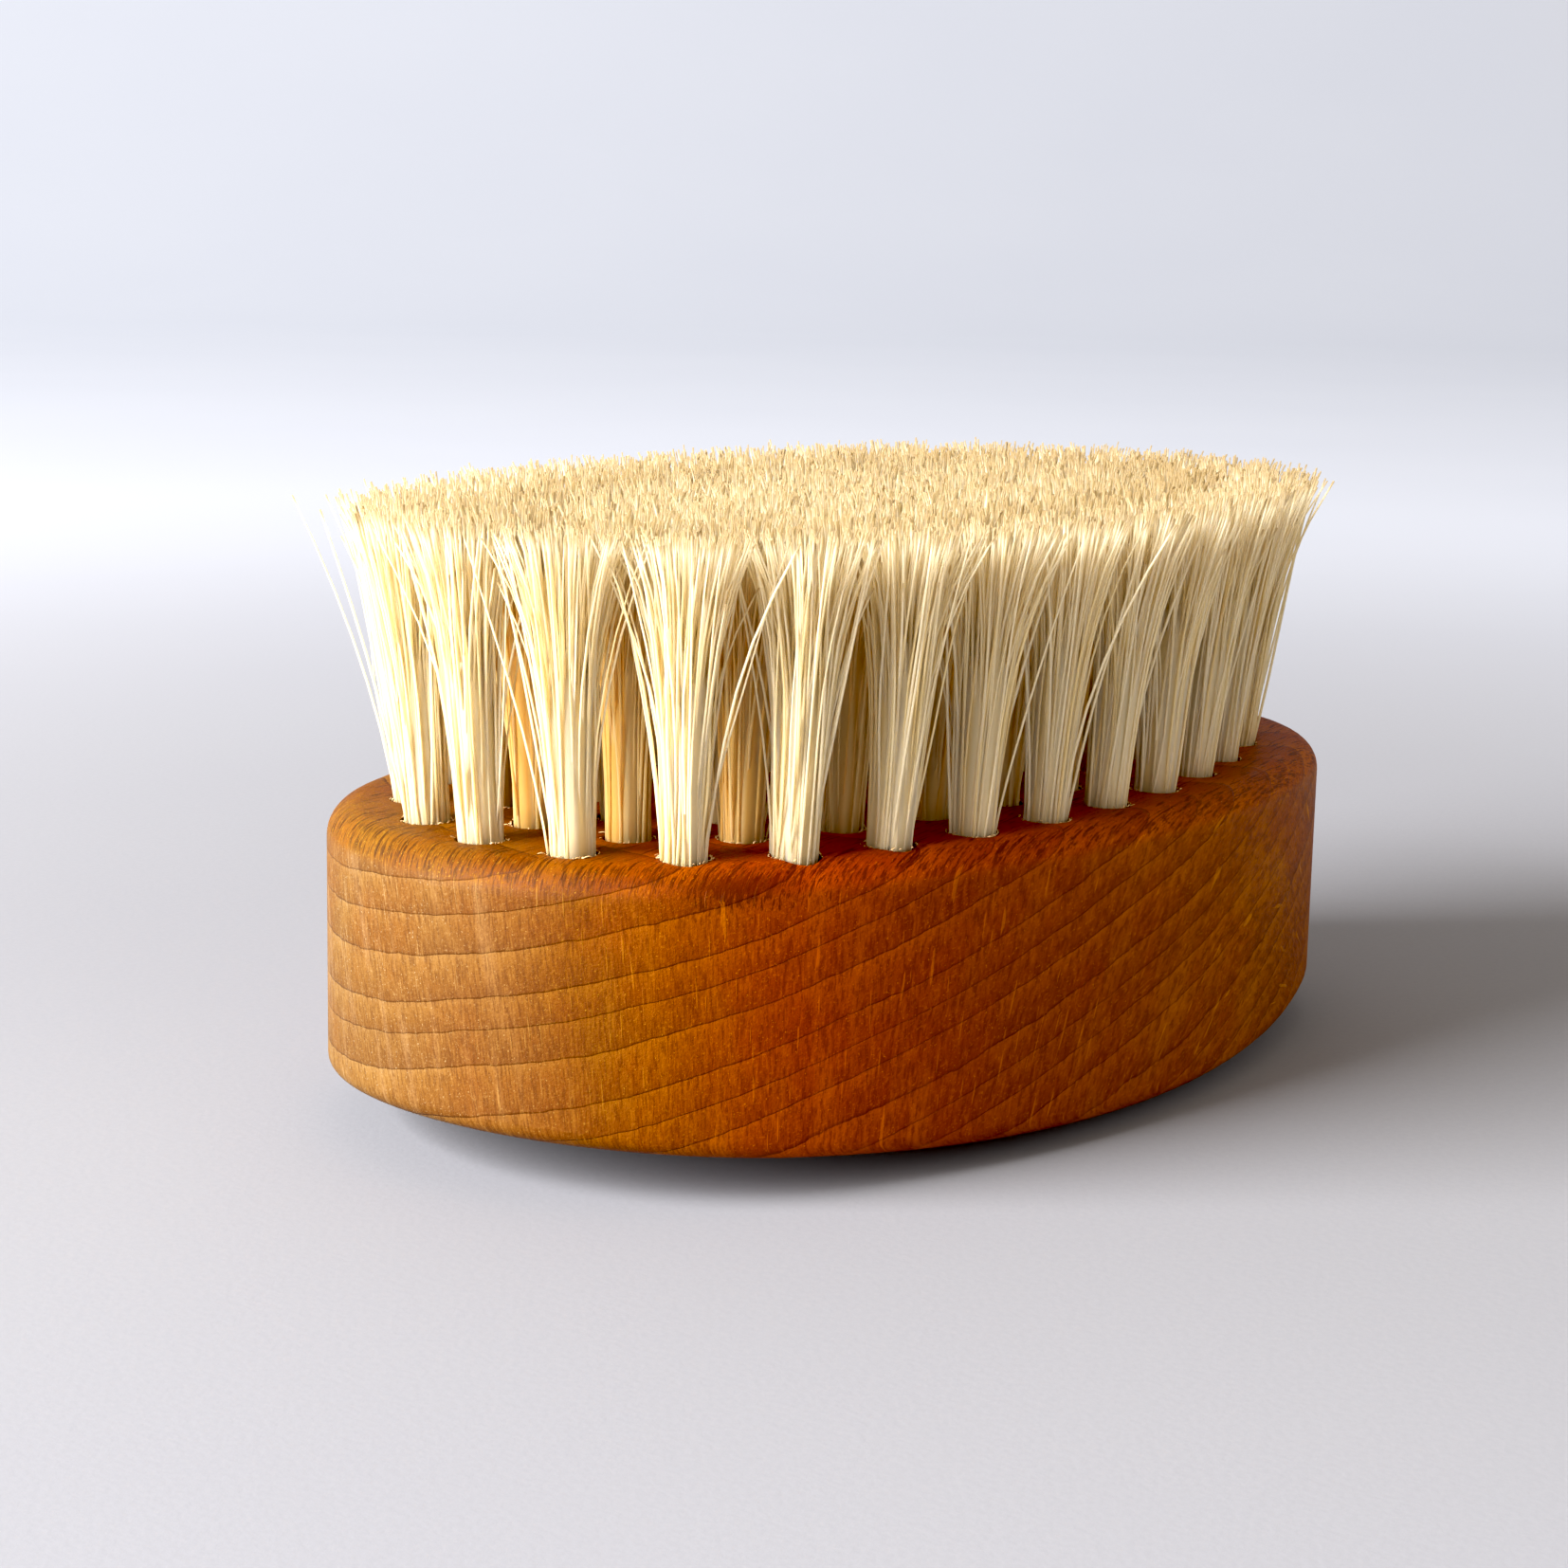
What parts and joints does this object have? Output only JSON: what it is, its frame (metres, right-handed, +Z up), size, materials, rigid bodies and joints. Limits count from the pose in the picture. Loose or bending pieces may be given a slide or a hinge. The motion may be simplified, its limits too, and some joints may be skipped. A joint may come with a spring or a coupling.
{
  "type": "bee brush",
  "caption": "Palm-held oval wooden bee brush with a domed back, rounded rims and upright tufts of pale natural bristle, flat-trimmed and flaring outward.",
  "frame": {"origin": "on the resting surface, under the middle of the oval block, with the brush lying on its back", "axes": "+Z up along the bristles, +X along the block's long axis, +Y across it"},
  "size_m": [0.1204, 0.0746, 0.0568],
  "materials": {
    "oiled_beech": "oiled satin",
    "bristle": "natural sheen",
    "anchor_wire": "drawn flat wire"
  },
  "bodies": {
    "root": {"anchors_centre": "anchor_wire", "anchors_outer": "anchor_wire", "anchors_second": "anchor_wire", "anchors_third": "anchor_wire", "brush_block": "oiled_beech", "tuft_outer_01": "bristle", "tuft_outer_02": "bristle", "tuft_outer_03": "bristle", "tuft_outer_04": "bristle", "tuft_outer_05": "bristle", "tuft_outer_06": "bristle", "tuft_outer_07": "bristle", "tuft_outer_08": "bristle", "tuft_outer_09": "bristle", "tuft_outer_10": "bristle", "tuft_outer_11": "bristle", "tuft_outer_12": "bristle", "tuft_outer_13": "bristle", "tuft_outer_14": "bristle", "tuft_outer_15": "bristle", "tuft_outer_16": "bristle", "tuft_outer_17": "bristle", "tuft_outer_18": "bristle", "tuft_outer_19": "bristle", "tuft_outer_20": "bristle", "tuft_outer_21": "bristle", "tuft_outer_22": "bristle", "tuft_outer_23": "bristle", "tuft_outer_24": "bristle", "tuft_outer_25": "bristle", "tuft_outer_26": "bristle", "tuft_outer_27": "bristle", "tuft_outer_28": "bristle", "tuft_second_01": "bristle", "tuft_second_02": "bristle", "tuft_second_03": "bristle", "tuft_second_04": "bristle", "tuft_second_05": "bristle", "tuft_second_06": "bristle", "tuft_second_07": "bristle", "tuft_second_08": "bristle", "tuft_second_09": "bristle", "tuft_second_10": "bristle", "tuft_second_11": "bristle", "tuft_second_12": "bristle", "tuft_second_13": "bristle", "tuft_second_14": "bristle", "tuft_second_15": "bristle", "tuft_second_16": "bristle", "tuft_second_17": "bristle", "tuft_second_18": "bristle", "tuft_second_19": "bristle", "tuft_second_20": "bristle", "tuft_second_21": "bristle", "tuft_second_22": "bristle", "tufts_centre": "bristle", "tufts_third": "bristle"}
  },
  "joints": []
}
